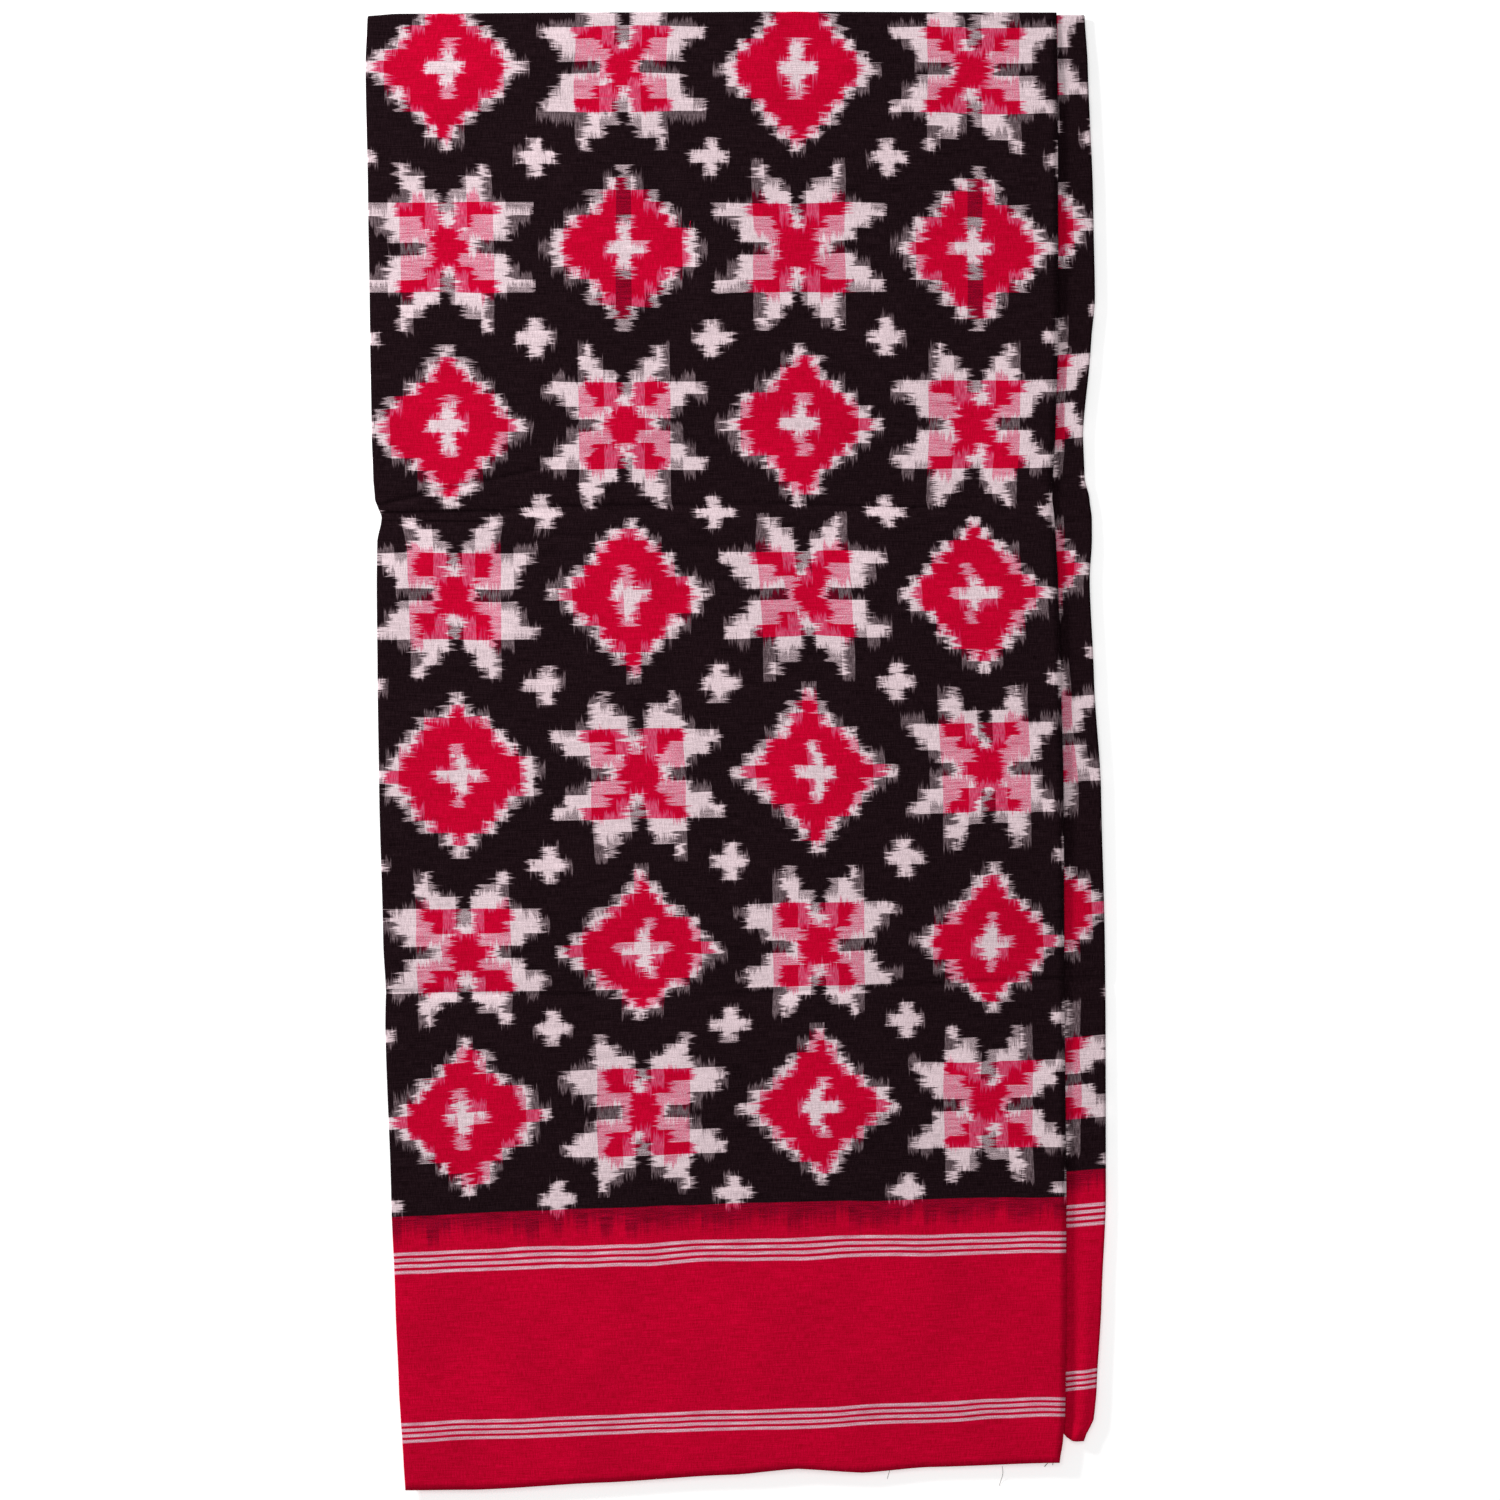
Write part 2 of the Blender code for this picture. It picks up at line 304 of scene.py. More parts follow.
def foldPoint(column, row, c, w):
    # where a crossing of the flat grid lies once the web is folded, and its place on the flat web
    share, turn, beyond = column
    rowShare, rowTurn = row
    isInner = turn == math.pi
    backShare = 0.5 - 0.5 * math.cos(rowTurn)
    panelShare = share * c["innerCovered"] + beyond * (1.0 - c["innerCovered"]) if isInner else share
    innerReach = c["layerSpacing"] / 2
    foldRadius = c["layerSpacing"] / 2
    outerReach = innerReach + c["layerSpacing"]
    reach = innerReach + foldRadius * (1.0 + math.cos(turn))

    axisDown = outerReach + c["solidThickness"] / 2 + readTable(c["topDip"], 1, panelShare) * mm
    endTable = c["innerEnd"] if isInner else c["frontEnd"]
    endDown = c["foldedLength"] - readTable(endTable, 1, panelShare) * mm - backShare * c["backEndSetback"]
    flatDown = axisDown + rowShare * (endDown - axisDown)
    down = flatDown - reach * math.sin(rowTurn)
    z = outerReach + c["solidThickness"] / 2 + reach * math.cos(rowTurn)
    if rowTurn == 0.0:
        z += frontLift(column, down, c) * smoothStep((down - axisDown) / c["liftStart"])

    foldEdge, selvedge, stripEdge = (readTable(c["edges"], i, down / mm) * mm for i in (1, 2, 3))
    foldCentre = foldEdge + foldRadius + c["solidThickness"] / 2
    x = foldCentre - foldRadius * math.sin(turn) + share * (selvedge - foldCentre)
    x += beyond * (stripEdge - selvedge - backShare * c["backStripSetback"])

    atFold, atSelvedge, atStrip, moved, movedStrip, bow = (
        readTable(w["easedThreads"], i, flatDown / mm) * mm for i in range(1, 7)
    )
    ahead = atFold + panelShare * ((atStrip if isInner else atSelvedge) - atFold)
    if isInner:
        webX = panelShare * (w["innerWidth"] - movedStrip)
    else:
        wave = math.sin(math.pi * panelShare)
        ahead += bow * wave
        tuck = w["tuck"]
        offTuck = (flatDown / mm - tuck["down"]) / tuck["reach"]
        nearTuck = math.exp(-offTuck ** 2 - (panelShare / tuck["share"]) ** 2)
        shape = w["moveShape"]
        moved *= wave ** shape["power"] * (shape["atFold"] + shape["gain"] * panelShare)
        webX = moved - panelShare * w["outerWidth"] - tuck["swallows"] * nearTuck
    atTop = w["easedThreads"][0]
    topLine = (atTop[1] + panelShare * (atTop[3 if isInner else 2] - atTop[1])) * mm
    if rowTurn == 0.0:
        webY = flatDown + ahead
    else:
        intoFold = axisDown + ahead - topLine
        webY = topLine + intoFold * (1.0 - 2.0 * rowTurn / math.pi)
        webY -= rowShare * (w["backLength"] + topLine - intoFold)
    return (x, c["foldedLength"] / 2 - down, z), (webX, webY)


def makeCloth(c, w):
    columns = gridColumns(c["faces"])
    rows = gridRows(c["faces"], c["frontStretches"], c["foldedLength"])
    acrossFaces, alongFaces = len(columns) - 1, len(rows) - 1
    bpy.ops.mesh.primitive_grid_add(x_subdivisions=acrossFaces, y_subdivisions=alongFaces, size=2.0)
    cloth = bpy.context.object
    cloth.name = "ikat_web"
    mesh = cloth.data
    mesh.name = "ikat_web"
    webPlaces, rowTurns = [], []
    for vertex in mesh.vertices:
        column = columns[round((vertex.co.x + 1.0) / 2.0 * acrossFaces)]
        row = rows[round((vertex.co.y + 1.0) / 2.0 * alongFaces)]
        vertex.co, webPlace = foldPoint(column, row, c, w)
        webPlaces.append(webPlace)
        rowTurns.append(row[1])

    while mesh.uv_layers:
        mesh.uv_layers.remove(mesh.uv_layers[0])
    mesh.uv_layers.new(name="threads")  # metres on the flat web: across, along
    mesh.uv_layers.new(name="OFBake")
    threads, bakeMap = mesh.uv_layers["threads"], mesh.uv_layers["OFBake"]
    for face in mesh.polygons:
        isBack = sum(rowTurns[i] for i in face.vertices) / len(face.vertices) > math.pi / 2
        for corner in face.loop_indices:
            webX, webY = webPlaces[mesh.loops[corner].vertex_index]
            mapX = readTable(w["bakeBack" if isBack else "bakeFront"], 1, webX / mm, softness=0.0)
            mapY = readTable(w["bakeAlong"], 1, (-webY if isBack else webY) / mm, softness=0.0)
            threads.data[corner].uv = (webX, webY)
            bakeMap.data[corner].uv = (mapX, mapY)

    bpy.ops.object.mode_set(mode="EDIT")
    bpy.ops.mesh.select_all(action="SELECT")
    bpy.ops.mesh.normals_make_consistent(inside=False)
    bpy.ops.object.mode_set(mode="OBJECT")
    thickness = cloth.modifiers.new("Thickness", "SOLIDIFY")
    thickness.thickness = c["webThickness"]
    thickness.offset = 0.0
    thickness.use_even_offset = True
    bpy.ops.object.modifier_apply(modifier=thickness.name)
    bpy.ops.object.shade_smooth()
    return cloth


cloth = makeCloth(clothSettings, webSettings)
print("cloth folded:", len(cloth.data.polygons), "faces")


# finishes


def inSrgb(hexColour):
    return [int(hexColour[i:i + 2], 16) / 255 for i in (1, 3, 5)]


def linear(hexColour):
    # an sRGB hex colour as linear red, green, blue
    return [c / 12.92 if c <= 0.04045 else ((c + 0.055) / 1.055) ** 2.4 for c in inSrgb(hexColour)]


def addNode(tree, kind, inputs=None, **settings):
    # a node with its settings, its inputs each given as a value, or as a node or socket to link from
    node = tree.nodes.new(kind if kind.startswith("NodeGroup") else "ShaderNode" + kind)
    for name, value in settings.items():
        setattr(node, name, value)
    for socket, value in (inputs or {}).items():
        if isinstance(value, bpy.types.Node):
            value = value.outputs[0]
        if isinstance(value, bpy.types.NodeSocket):
            tree.links.new(value, node.inputs[socket])
        else:
            node.inputs[socket].default_value = value
    return node


# Handwoven cotton from yarn that was tied and vat dyed: quite matt, with no highlight. Both yarns show where
# they cross, the weft more than the warp, so every pair of dyes gives its own shade.
cottonSettings = {
    "black": "#201418",
    "red": "#c1002f",
    "white": "#dfc8ce",
    "exposure": 0.92,  # the light is brighter than white paper needs, so the dyes are darkened to match
    "roughness": 0.92,
    "specular": 0.06,  # dyed cotton gives almost no highlight
    "weftShare": 0.65,  # share of the surface where the weft lies on top
    "cell": 9.375,  # mm, one tied bundle of yarn, with 14 of them to a repeat
    "cellsPerRepeat": 14,
    # cells from a figure's middle, times the first number and plus the second, give the bundle: the middle
    # ones of the warp are a little wider
    "bundleWidths": {"Warp": (0.98, -0.1), "Weft": (1.0, 0.0)},
    "centreAcross": 8.6,  # mm from the side fold to the web's middle line
    "centreAlong": -24.6,  # mm from the top fold to the web's middle line, which is on the back
    # how far threads have slipped along themselves by chance, in cells, and over how many cells that changes
    "slips": {
        "yarn": (0.28, 2.5),
        "bundle": (0.66, 7.0),
        "figure": (0.15, 14.0),
        "cross": (0.30, 7.0),
        "bleed": (0.20, 2.0),  # how far dye has crept under the ties or stopped short of them
    },
    # how far apart neighbours lie on the noise that gives their slips, so that each has its own
    "apart": {"yarn": 1.731, "bundle": 1.37, "figure": 5.31},
    "seeds": {"Warp": 3.0, "Weft": 8.0, "bundle": 20.0, "bleed": 40.0},
    "yarn": 0.62,  # mm, one or two yarns that slip together and draw one feather
    "bleedWidth": 2.6,  # mm across the yarns
    "softEdge": 0.35,  # cells over which a dye edge fades
    "lastFigure": 918.75,  # mm along from the web's middle, past which there is no figure
    "bandStart": 926.9,  # mm, where the weft turns red
    "bandEdge": 0.3,  # mm, half of how far that takes
    "warpTurns": (931.0, 948.0),  # mm, where the warp goes from black to red
    "turnSlips": (6.0, 3.0),  # mm, how far that differs between bundles and between yarns
    "turnYarn": 0.9,  # mm across the yarns that turn red together
    "stripeSets": ((953.7, 4.65, 2.75), (1080.0, 4.25, 2.6)),  # mm: start, pitch, width of the white stripes
    "stripeCount": 4,
    "stripeEdge": 0.35,  # mm, half of how far a stripe's edge takes
    "stripeRoom": 0.6,  # mm, short of the first stripe, so that its edge is whole
    "stripeWeft": 0.80,  # the stripes' thicker weft hides more of the warp
    "darkRow": 1,  # the row of figures whose diamonds have a black bundle of warp in their middle
    "darkFrom": 1.6,  # cells from the diamond's middle, past its cross
    # scales, streaks and grain are in cells of a noise for each mm
    "wander": {"scale": 0.014, "reach": 5.0},  # handwoven threads wander by mm over some 70 mm
    "streaks": ((0.06, 1.3, 0), (1.3, 0.16, 0)),  # across and along, of the weft and then of the warp
    "grain": 1.2,
    "swing": 0.5,  # how far the streaks change which yarn shows
    "unevenDye": (0.88, 1.12),  # shade of the darkest and of the lightest yarns
    "fluffAndSheen": 0.035,  # sRGB, flecks added to every dye: partly light and dark fibres on the surface, partly painted sheen off the fibres
    "wear": {"scale": 0.018, "shade": (0.97, 1.03)},  # slow patches
    "relief": {"strength": 0.4, "height": 0.15 * mm},
}
noiseRange = (0.3, 0.7)  # nearly all of a noise lies between these

# Where the dyes lie along a bundle of yarn, in cells from the middle of a figure: black as far as the first
# limit, then white, red and white to the next ones, and black again. There is a row for each bundle, counted
# from the figure's middle one. -1 is none.
dyeCharts = {
    "diamondWarp": (
        # black, white, red, white
        (-1, 1.5, 5.5, 6.4),
        (-1, 0.6, 4.5, 5.4),
        (-1, -1, 3.5, 4.4),
        (-1, -1, 2.5, 3.4),
        (-1, -1, 1.5, 2.4),
        (-1, 1.5, -1, 1.4),
        (-1, 0.5, -1, 0.5),
        (-1, -1, -1, -1),
    ),
    "diamondWeft": (
        (-1, 1.85, 5.5, 6.4),
        (-1, 0.6, 4.5, 5.4),
        (-1, 0.5, 3.5, 4.4),
        (-1, -1, 2.5, 3.4),
        (-1, -1, 1.5, 2.4),
        (-1, -1, 0.5, 1.4),
        (-1, 0.5, -1, 0.5),
        (-1, -1, -1, -1),
    ),
    "starWarp": (
        (-1, -1, 1.5, 2.4),
        (-1, -1, 1.5, 4.4),
        (-1, 0.5, 3.5, 5.4),
        (-1, 0.5, 3.5, 6.4),
        (0.5, 3.5, -1, 3.5),
        (1.5, 3.5, -1, 3.5),
        (2.5, 3.5, -1, 3.5),
        (-1, -1, -1, -1),
    ),
    "starWeft": (
        (-1, -1, 1.4, 2.1),
        (-1, -1, 1.2, 4.4),
        (-1, 0.5, 2.5, 5.4),
        (-1, 0.5, 3.5, 6.4),
        (0.5, 3.3, -1, 3.3),
        (1.5, 3.3, -1, 3.3),
        (2.5, 3.3, -1, 3.3),
        (-1, -1, -1, -1),
    ),
    "cross": ((-1, 1.4, -1, 1.4), (-1, 0.5, -1, 0.5), (-1, -1, -1, -1)),
}
chartScale = 8.0  # a colour ramp holds a chart's limits as (limit + 1) / chartScale


def addChart(tree, chart, bundle):
    # a stepped ramp that gives a bundle's four limits as red, green, blue and alpha
    spot = addNode(tree, "Math", {0: bundle, 1: 0.5}, operation="ADD")
    place = addNode(tree, "Math", {0: spot, 1: chartScale}, operation="DIVIDE")
    ramp = addNode(tree, "ValToRGB", {0: place})
    ramp.color_ramp.interpolation = "CONSTANT"
    stops = ramp.color_ramp.elements
    for index, limits in enumerate(chart):
        stop = stops[index] if index < 2 else stops.new(index / chartScale)
        stop.position = index / chartScale
        stop.color = [(limit + 1) / chartScale for limit in limits]
    return ramp


def addChance(tree, across, along, seed, size, reach):
    # a slow random shift along a thread, between plus and minus size for nearly all of its length
    slowAlong = addNode(tree, "Math", {0: along, 1: reach}, operation="DIVIDE")
    place = addNode(tree, "CombineXYZ", {0: across, 1: slowAlong, 2: seed})
    noise = addNode(tree, "TexNoise", {"Vector": place, "Scale": 1.0, "Detail": 0.0})
    return addNode(tree, "MapRange", {0: noise, 1: noiseRange[0], 2: noiseRange[1], 3: -size, 4: size})


def makeYarnDye(yarnName, darkRow, cotton):
    # a node group that says how a yarn is dyed. Given mm across the yarns and along them from the web's
    # middle, it gives how far the yarn is light (0 black, 1 red or white) and how far that is red
    tree = bpy.data.node_groups.new("dye" + yarnName, "ShaderNodeTree")
    for socket in ("Across", "Along", "Figures"):
        tree.interface.new_socket(socket, in_out="INPUT", socket_type="NodeSocketFloat")
    for socket in ("Light", "Red"):
        tree.interface.new_socket(socket, in_out="OUTPUT", socket_type="NodeSocketFloat")
    given = addNode(tree, "NodeGroupInput")
    repeat = float(cotton["cellsPerRepeat"])
    seed, slips, apart = cotton["seeds"][yarnName], cotton["slips"], cotton["apart"]
    across, along = (
        addNode(tree, "Math", {0: given.outputs[i], 1: cotton["cell"]}, operation="DIVIDE") for i in (0, 1)
    )

    # chance slip of each yarn, and dye that has crept under the ties
    yarn = addNode(tree, "Math", {0: given.outputs[0], 1: cotton["yarn"]}, operation="DIVIDE")
    yarnIndex = addNode(tree, "Math", {0: yarn}, operation="FLOOR")
    yarnKey = addNode(tree, "Math", {0: yarnIndex, 1: apart["yarn"]}, operation="MULTIPLY")
    yarnSlip = addChance(tree, yarnKey, along, seed, *slips["yarn"])
    bleedKey = addNode(tree, "Math", {0: given.outputs[0], 1: cotton["bleedWidth"]}, operation="DIVIDE")
    bleed = addChance(tree, bleedKey, along, seed + cotton["seeds"]["bleed"], *slips["bleed"])

    # the yarn as seen from the middle of its figure, and then from the small cross between four figures
    bundles, distances, figures = [], [], []
    for offset in (0.0, repeat / 2):
        starts, middles = [], []
        for cells in (across, along):
            place = addNode(tree, "Math", {0: cells, 1: offset}, operation="ADD")
            repeats = addNode(tree, "Math", {0: place, 1: repeat}, operation="DIVIDE")
            index = addNode(tree, "Math", {0: repeats}, operation="FLOOR")
            middle = addNode(tree, "Math", {0: index, 1: repeat, 2: repeat / 2}, operation="MULTIPLY_ADD")
            starts.append(index)
            middles.append(addNode(tree, "Math", {0: place, 1: middle}, operation="SUBTRACT"))
        bundle = addNode(tree, "Math", {0: middles[0]}, operation="ABSOLUTE")
        scale, shift = cotton["bundleWidths"][yarnName]
        bundle = addNode(tree, "Math", {0: bundle, 1: scale, 2: shift}, operation="MULTIPLY_ADD")
        bundle = addNode(tree, "Math", {0: bundle}, operation="ROUND")

        figureKey = addNode(tree, "Math", {0: starts[0], 1: apart["figure"]}, operation="MULTIPLY")
        figureSlip = addChance(tree, figureKey, along, seed + offset, *slips["figure"])
        # the bundles at the same distance to both sides were tied as one, so they share their slip
        bundleKey = addNode(
            tree, "Math", {0: bundle, 1: apart["bundle"], 2: figureKey}, operation="MULTIPLY_ADD"
        )
        bundleSeed = seed + cotton["seeds"]["bundle"]
        bundleSlip = addChance(tree, bundleKey, along, bundleSeed, *slips["cross" if offset else "bundle"])
        moved = middles[1]
        for slip in (figureSlip, bundleSlip, yarnSlip):
            moved = addNode(tree, "Math", {0: moved, 1: slip}, operation="ADD")
        distance = addNode(tree, "Math", {0: moved}, operation="ABSOLUTE")
        for added in (bleed, 1.0):
            distance = addNode(tree, "Math", {0: distance, 1: added}, operation="ADD")
        bundles.append(bundle)
        figures.append(starts)
        distances.append(addNode(tree, "Math", {0: distance, 1: chartScale}, operation="DIVIDE"))

    # star or diamond, by turns like a chessboard
    board = addNode(tree, "Math", {0: figures[0][0], 1: figures[0][1]}, operation="ADD")
    isStar = addNode(tree, "Math", {0: board, 1: 2.0}, operation="FLOORED_MODULO")
    diamond = addChart(tree, dyeCharts["diamond" + yarnName], bundles[0])
    star = addChart(tree, dyeCharts["star" + yarnName], bundles[0])
    cross = addChart(tree, dyeCharts["cross"], bundles[1])
    limits = addNode(tree, "Mix", {0: isStar, 6: diamond, 7: star}, data_type="RGBA")
    lastLimit = addNode(tree, "Mix", {0: isStar, 2: diamond.outputs[1], 3: star.outputs[1]})
    limit = addNode(tree, "SeparateColor", {0: limits.outputs[2]})

    # soft steps: past black, past the inner white, short of red's end, short of white's end, within the cross
    soft = cotton["softEdge"] / chartScale / 2
    steps = []
    for high, low in (
        (distances[0], limit.outputs[0]),
        (distances[0], limit.outputs[1]),
        (limit.outputs[2], distances[0]),
        (lastLimit, distances[0]),
        (cross.outputs[1], distances[1]),
    ):
        gap = addNode(tree, "Math", {0: high, 1: low}, operation="SUBTRACT")
        steps.append(addNode(tree, "MapRange", {0: gap, 1: -soft, 2: soft}))
    light = addNode(tree, "Math", {0: steps[0], 1: steps[3]}, operation="MULTIPLY")
    light = addNode(tree, "Math", {0: light, 1: given.outputs[2]}, operation="MULTIPLY")
    red = addNode(tree, "Math", {0: steps[1], 1: steps[2]}, operation="MULTIPLY")
    if darkRow:
        # an odd bundle, black from past the cross to the tip of the diamonds in one row
        near = 0.1  # rows and bundles are whole numbers
        inRow = addNode(tree, "Math", {0: figures[0][1], 1: float(darkRow), 2: near}, operation="COMPARE")
        isMiddle = addNode(tree, "Math", {0: bundles[0], 1: near}, operation="LESS_THAN")
        darkFrom = (cotton["darkFrom"] + 1.0) / chartScale
        pastCross = addNode(tree, "Math", {0: distances[0], 1: darkFrom}, operation="GREATER_THAN")
        dark = addNode(tree, "Math", {0: inRow, 1: isMiddle}, operation="MULTIPLY")
        dark = addNode(tree, "Math", {0: dark, 1: pastCross}, operation="MULTIPLY")
        dark = addNode(tree, "Math", {0: dark, 1: isStar}, operation="SUBTRACT", use_clamp=True)
        light = addNode(tree, "Math", {0: light, 1: dark}, operation="SUBTRACT", use_clamp=True)
    withCross = addNode(tree, "Math", {0: light, 1: steps[4]}, operation="MAXIMUM")
    addNode(tree, "NodeGroupOutput", {0: withCross, 1: red})
    return tree


def addStripes(tree, along, cotton):
    # 1 on the white picks of the end band, 0 elsewhere
    stripes = None
    soft, room = cotton["stripeEdge"], cotton["stripeRoom"]
    for start, pitch, width in cotton["stripeSets"]:
        edge, end = width / 2, cotton["stripeCount"] * pitch
        local = addNode(tree, "Math", {0: along, 1: start}, operation="SUBTRACT")
        phase = addNode(tree, "Math", {0: local, 1: pitch}, operation="FLOORED_MODULO")
        offMiddle = addNode(tree, "Math", {0: phase, 1: edge}, operation="SUBTRACT")
        away = addNode(tree, "Math", {0: offMiddle}, operation="ABSOLUTE")
        onStripe = addNode(tree, "MapRange", {0: away, 1: edge - soft, 2: edge + soft, 3: 1.0, 4: 0.0})
        afterStart = addNode(tree, "Math", {0: local, 1: -room}, operation="GREATER_THAN")
        beforeEnd = addNode(tree, "Math", {0: local, 1: end - room}, operation="LESS_THAN")
        stripe = addNode(tree, "Math", {0: afterStart, 1: beforeEnd}, operation="MULTIPLY")
        stripe = addNode(tree, "Math", {0: stripe, 1: onStripe}, operation="MULTIPLY")
        if stripes:
            stripe = addNode(tree, "Math", {0: stripes, 1: stripe}, operation="MAXIMUM")
        stripes = stripe
    return stripes


def makeCotton(cotton):
    material = bpy.data.materials.new("handwoven_double_ikat_cotton")
    material.use_nodes = True
    tree = material.node_tree
    finish = tree.nodes["Principled BSDF"]
    finish.inputs["Roughness"].default_value = cotton["roughness"]
    finish.inputs["Specular IOR Level"].default_value = cotton["specular"]
    finish.inputs["IOR"].default_value = 1.45

    # mm on the flat web from its two middle lines, with the slow wander of handwoven threads
    web = addNode(tree, "UVMap", uv_map="threads")
    inMm = addNode(tree, "VectorMath", {0: web, 1: (1 / mm, 1 / mm, 0)}, operation="MULTIPLY")
    scale, reach = cotton["wander"]["scale"], cotton["wander"]["reach"]
    wanderNoise = addNode(tree, "TexNoise", {"Vector": inMm, "Scale": scale, "Detail": 1.0})
    wander = addNode(
        tree,
        "VectorMath",
        {0: wanderNoise.outputs[1], 1: (reach, reach, 0.0), 2: (-reach / 2, -reach / 2, 0.0)},
        operation="MULTIPLY_ADD",
    )
    wandered = addNode(tree, "VectorMath", {0: inMm, 1: wander}, operation="ADD")
    centre = (cotton["centreAcross"], cotton["centreAlong"], 0)
    fromMiddle = addNode(tree, "VectorMath", {0: wandered, 1: centre}, operation="SUBTRACT")
    mirrored = addNode(tree, "VectorMath", {0: fromMiddle}, operation="ABSOLUTE")
    place = addNode(tree, "SeparateXYZ", {0: mirrored})
    across, along = place.outputs[0], place.outputs[1]

    # the dyes of the two yarns that cross here, as sRGB numbers, because that is how they blend to the eye
    black, red, white = (inSrgb(cotton[name]) + [1.0] for name in ("black", "red", "white"))
    figures = addNode(tree, "Math", {0: along, 1: cotton["lastFigure"]}, operation="LESS_THAN")
    yarnColours = []
    for yarn, darkRow, ends in (
        ("Warp", cotton["darkRow"], (across, along)),
        ("Weft", None, (along, across)),
    ):
        group = makeYarnDye(yarn, darkRow, cotton)
        dyed = addNode(tree, "Group", node_tree=group)
        for socket, source in enumerate((*ends, figures.outputs[0])):
            tree.links.new(source, dyed.inputs[socket])
        lightDye = addNode(tree, "Mix", {0: dyed.outputs[1], 6: white, 7: red}, data_type="RGBA")
        colour = addNode(tree, "Mix", {0: dyed, 6: black, 7: lightDye.outputs[2]}, data_type="RGBA")
        yarnColours.append(colour.outputs[2])

    # end bands: the warp turns red with feathered ends, and the weft turns red at one pick
    turnAlong = along
    for width, slip in zip((cotton["cell"], cotton["turnYarn"]), cotton["turnSlips"]):
        threads = addNode(tree, "Math", {0: across, 1: 1.0 / width, 2: 0.5}, operation="MULTIPLY_ADD")
        threadIndex = addNode(tree, "Math", {0: threads}, operation="FLOOR")
        chance = addNode(tree, "TexWhiteNoise", {"W": threadIndex}, noise_dimensions="1D")
        turnSlip = addNode(tree, "MapRange", {0: chance, 3: -slip, 4: slip})
        turnAlong = addNode(tree, "Math", {0: turnAlong, 1: turnSlip}, operation="ADD")
    turnStart, turnEnd = cotton["warpTurns"]
    warpRed = addNode(
        tree, "MapRange", {0: turnAlong, 1: turnStart, 2: turnEnd}, interpolation_type="SMOOTHSTEP"
    )
    warpColour = addNode(tree, "Mix", {0: warpRed, 6: yarnColours[0], 7: red}, data_type="RGBA")
    band, edge = cotton["bandStart"], cotton["bandEdge"]
    inBand = addNode(tree, "MapRange", {0: along, 1: band - edge, 2: band + edge})
    weftColour = addNode(tree, "Mix", {0: inBand, 6: yarnColours[1], 7: red}, data_type="RGBA")
    stripes = addStripes(tree, along, cotton)
    striped = addNode(tree, "Mix", {0: stripes, 6: weftColour.outputs[2], 7: white}, data_type="RGBA")

    # Which yarn shows differs from crossing to crossing. The real weave has about 24 yarns to the centimetre,
    # too fine to show here, so it is drawn as short streaks about a millimetre wide.
    streaks = []
    for stretch in cotton["streaks"]:
        streakPlace = addNode(tree, "VectorMath", {0: inMm, 1: stretch}, operation="MULTIPLY")
        streaks.append(addNode(tree, "TexNoise", {"Vector": streakPlace, "Scale": 1.0, "Detail": 1.0}))
    grain = addNode(tree, "TexNoise", {"Vector": inMm, "Scale": cotton["grain"], "Detail": 1.0})
    balance = addNode(tree, "Math", {0: streaks[0], 1: streaks[1]}, operation="SUBTRACT")
    balance = addNode(tree, "Math", {0: balance, 1: grain}, operation="ADD")
    weftShare = addNode(tree, "MapRange", {0: stripes, 3: cotton["weftShare"], 4: cotton["stripeWeft"]})
    swing = cotton["swing"]
    weftOffset = addNode(tree, "Math", {0: weftShare, 1: swing / 2}, operation="SUBTRACT")
    weftShown = addNode(
        tree, "Math", {0: balance, 1: swing, 2: weftOffset}, operation="MULTIPLY_ADD", use_clamp=True
    )
    woven = addNode(
        tree, "Mix", {0: weftShown, 6: warpColour.outputs[2], 7: striped.outputs[2]}, data_type="RGBA"
    )

    # yarn by yarn unevenness of the dye, slow patches of wear, fibre flecks partly painted sheen, then sRGB
    # numbers to linear colour
    wear, relief, fluffAndSheenSize = cotton["wear"], cotton["relief"], cotton["fluffAndSheen"]
    darkest, lightest = cotton["unevenDye"]
    patches = addNode(tree, "TexNoise", {"Vector": inMm, "Scale": wear["scale"], "Detail": 2.0})
    mottled = addNode(tree, "Math", {0: streaks[0], 1: streaks[1]}, operation="ADD")
    mottled = addNode(tree, "Math", {0: mottled, 1: grain}, operation="ADD")  # mostly 1 to 2
    fineShade = addNode(tree, "MapRange", {0: mottled, 1: 1.0, 2: 2.0, 3: darkest, 4: lightest})
    slowShade = addNode(
        tree,
        "MapRange",
        {0: patches, 1: noiseRange[0], 2: noiseRange[1], 3: wear["shade"][0], 4: wear["shade"][1]},
    )
    shade = addNode(tree, "Math", {0: fineShade, 1: slowShade}, operation="MULTIPLY")
    uneven = addNode(tree, "VectorMath", {0: woven.outputs[2], "Scale": shade}, operation="SCALE")
    # painted sheen off the fibres, together with light and dark loose fibres: flecks added to the colour
    fluffAndSheen = addNode(tree, "MapRange", {0: mottled, 1: 1.0, 2: 2.0, 3: -fluffAndSheenSize, 4: fluffAndSheenSize}, clamp=False)
    uneven = addNode(tree, "VectorMath", {0: uneven, 1: fluffAndSheen}, operation="ADD")
    linearColour = addNode(tree, "Gamma", {0: uneven, 1: 2.2})
    dimmed = addNode(tree, "VectorMath", {0: linearColour, "Scale": cotton["exposure"]}, operation="SCALE")
    tree.links.new(dimmed.outputs[0], finish.inputs["Base Color"])

    bump = addNode(
        tree, "Bump", {"Height": mottled, "Strength": relief["strength"], "Distance": relief["height"]}
    )
    tree.links.new(bump.outputs[0], finish.inputs["Normal"])
    return material


cotton = makeCotton(cottonSettings)
cloth.data.materials.append(cotton)
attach(cloth, "root")
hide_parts("ikat_cloth")
print("cotton dyed")


# loose yarn ends at the cut end, and a slub near the top

